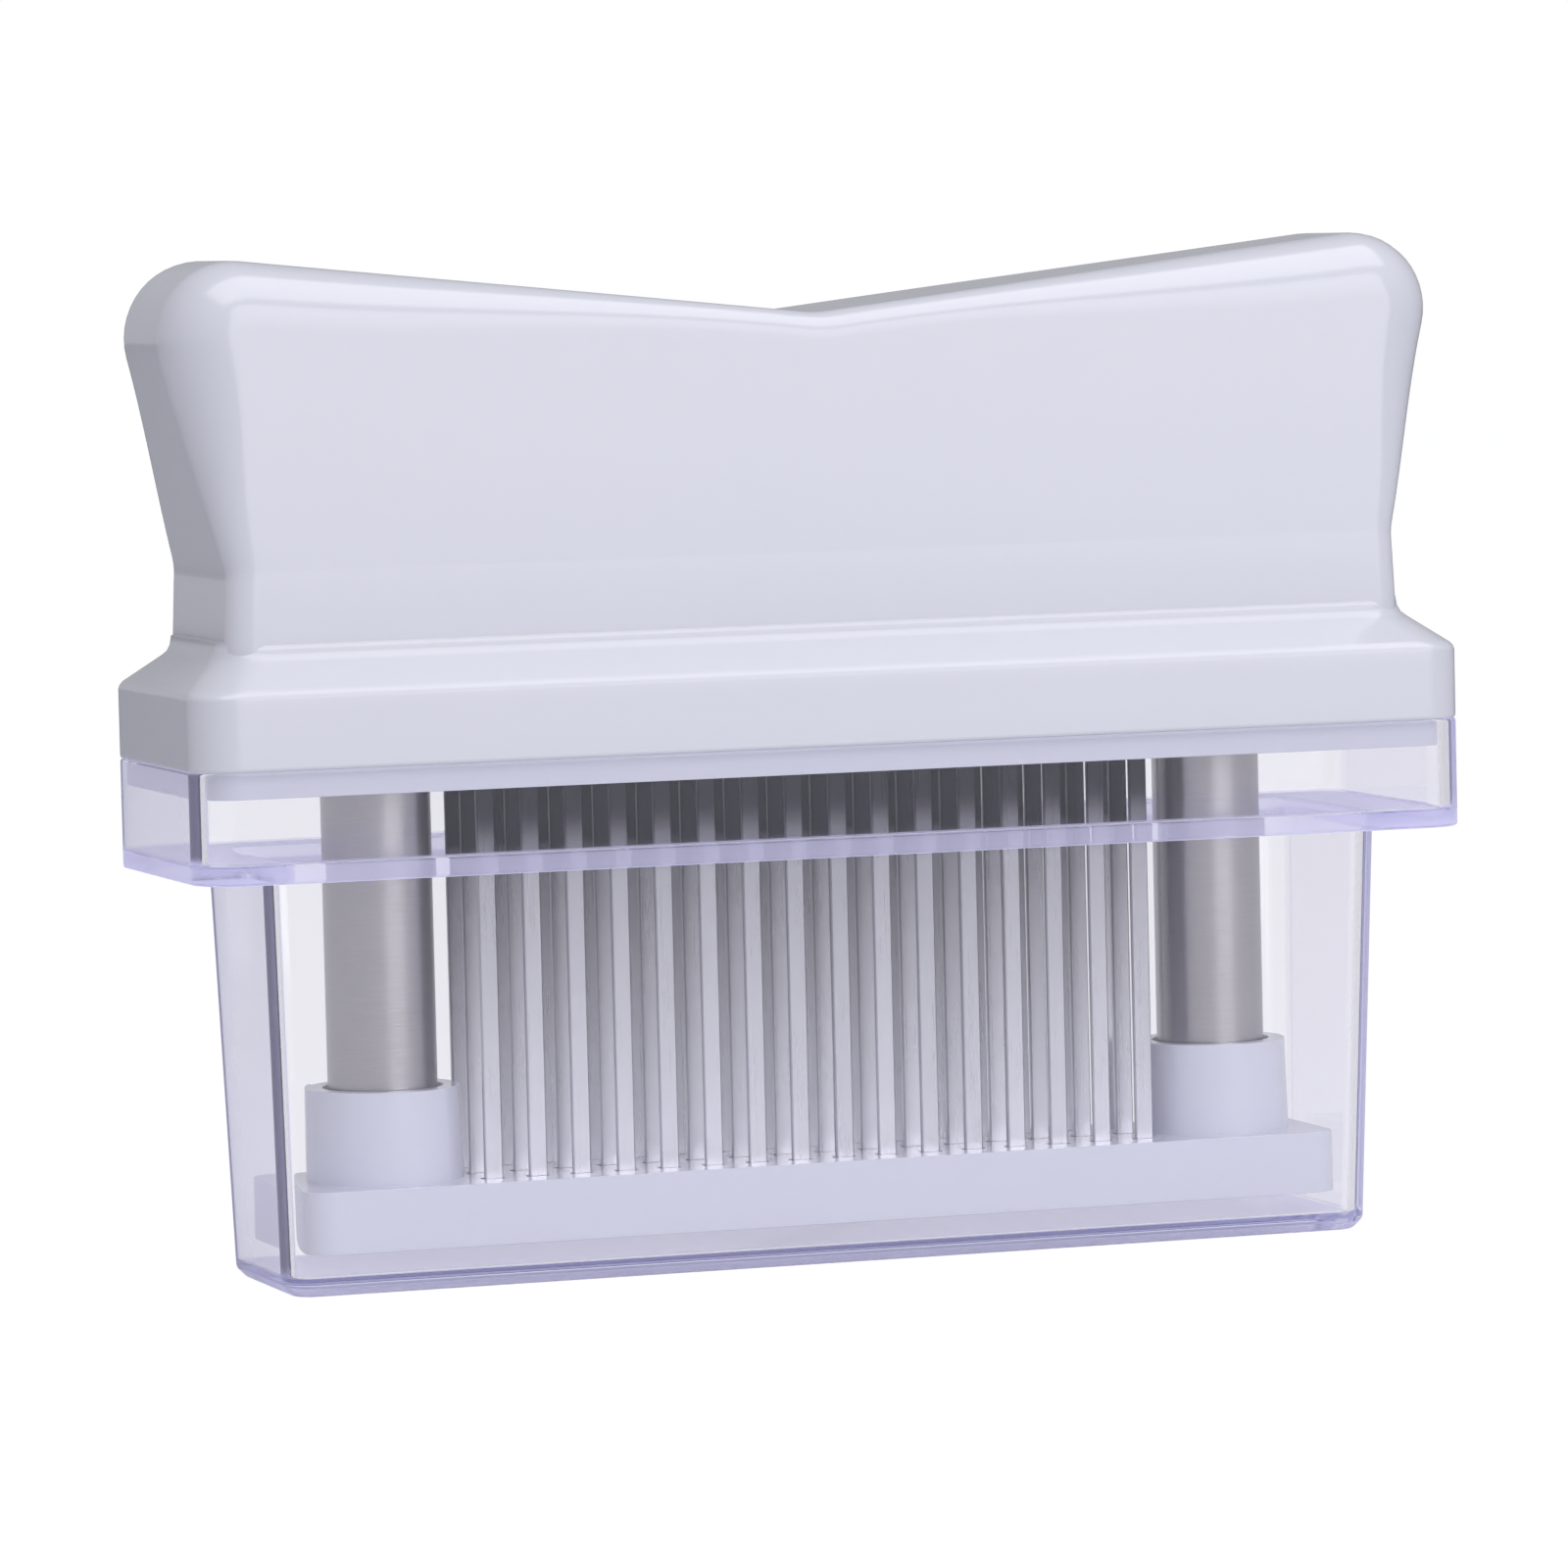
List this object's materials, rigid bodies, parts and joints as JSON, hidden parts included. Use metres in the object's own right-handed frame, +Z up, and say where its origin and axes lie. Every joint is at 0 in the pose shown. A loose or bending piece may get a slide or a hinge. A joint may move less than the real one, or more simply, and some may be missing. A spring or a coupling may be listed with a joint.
{
  "type": "blade meat tenderizer",
  "caption": "Hand press with a flared handle, rows of flat knives, a sprung slotted foot on two columns and a clear lift-off cover.",
  "frame": {"origin": "centre of the cover's underside, on the table", "axes": "+X along the handle, +Y from front to back, +Z up through the handle"},
  "size_m": [0.1466, 0.0384, 0.112],
  "materials": {
    "white_abs": "gloss",
    "clear_cover": "clear polished plastic",
    "column_steel": "satin",
    "knife_steel": "ground",
    "spring_steel": "bright"
  },
  "bodies": {
    "cover": {"cover": "clear_cover"},
    "handle": {"handle_shell": "white_abs", "knife_plate": "white_abs", "knife_clamp": "white_abs", "plate_screws": "spring_steel", "left_spring": "spring_steel", "right_spring": "spring_steel", "knife_front_01": "knife_steel", "knife_front_02": "knife_steel", "knife_front_03": "knife_steel", "knife_front_04": "knife_steel", "knife_front_05": "knife_steel", "knife_front_06": "knife_steel", "knife_front_07": "knife_steel", "knife_front_08": "knife_steel", "knife_front_09": "knife_steel", "knife_front_10": "knife_steel", "knife_front_11": "knife_steel", "knife_front_12": "knife_steel", "knife_front_13": "knife_steel", "knife_front_14": "knife_steel", "knife_front_15": "knife_steel", "knife_front_16": "knife_steel", "knife_middle_01": "knife_steel", "knife_middle_02": "knife_steel", "knife_middle_03": "knife_steel", "knife_middle_04": "knife_steel", "knife_middle_05": "knife_steel", "knife_middle_06": "knife_steel", "knife_middle_07": "knife_steel", "knife_middle_08": "knife_steel", "knife_middle_09": "knife_steel", "knife_middle_10": "knife_steel", "knife_middle_11": "knife_steel", "knife_middle_12": "knife_steel", "knife_middle_13": "knife_steel", "knife_middle_14": "knife_steel", "knife_middle_15": "knife_steel", "knife_middle_16": "knife_steel", "knife_rear_01": "knife_steel", "knife_rear_02": "knife_steel", "knife_rear_03": "knife_steel", "knife_rear_04": "knife_steel", "knife_rear_05": "knife_steel", "knife_rear_06": "knife_steel", "knife_rear_07": "knife_steel", "knife_rear_08": "knife_steel", "knife_rear_09": "knife_steel", "knife_rear_10": "knife_steel", "knife_rear_11": "knife_steel", "knife_rear_12": "knife_steel", "knife_rear_13": "knife_steel", "knife_rear_14": "knife_steel", "knife_rear_15": "knife_steel", "knife_rear_16": "knife_steel"},
    "foot": {"foot": "white_abs", "left_column": "column_steel", "right_column": "column_steel", "left_stop_ring": "spring_steel", "right_stop_ring": "spring_steel"}
  },
  "joints": [
    {"name": "handle_lift", "type": "slide", "parent": "cover", "child": "handle", "axis": [0, 0, 1], "range_m": [0, 0.08]},
    {"name": "foot_slide", "type": "slide", "parent": "handle", "child": "foot", "axis": [0, 0, 1], "range_m": [0, 0.0328], "stiffness_N_per_m": 400, "springref_m": -0.02, "deforming": ["left_spring", "right_spring"]}
  ]
}
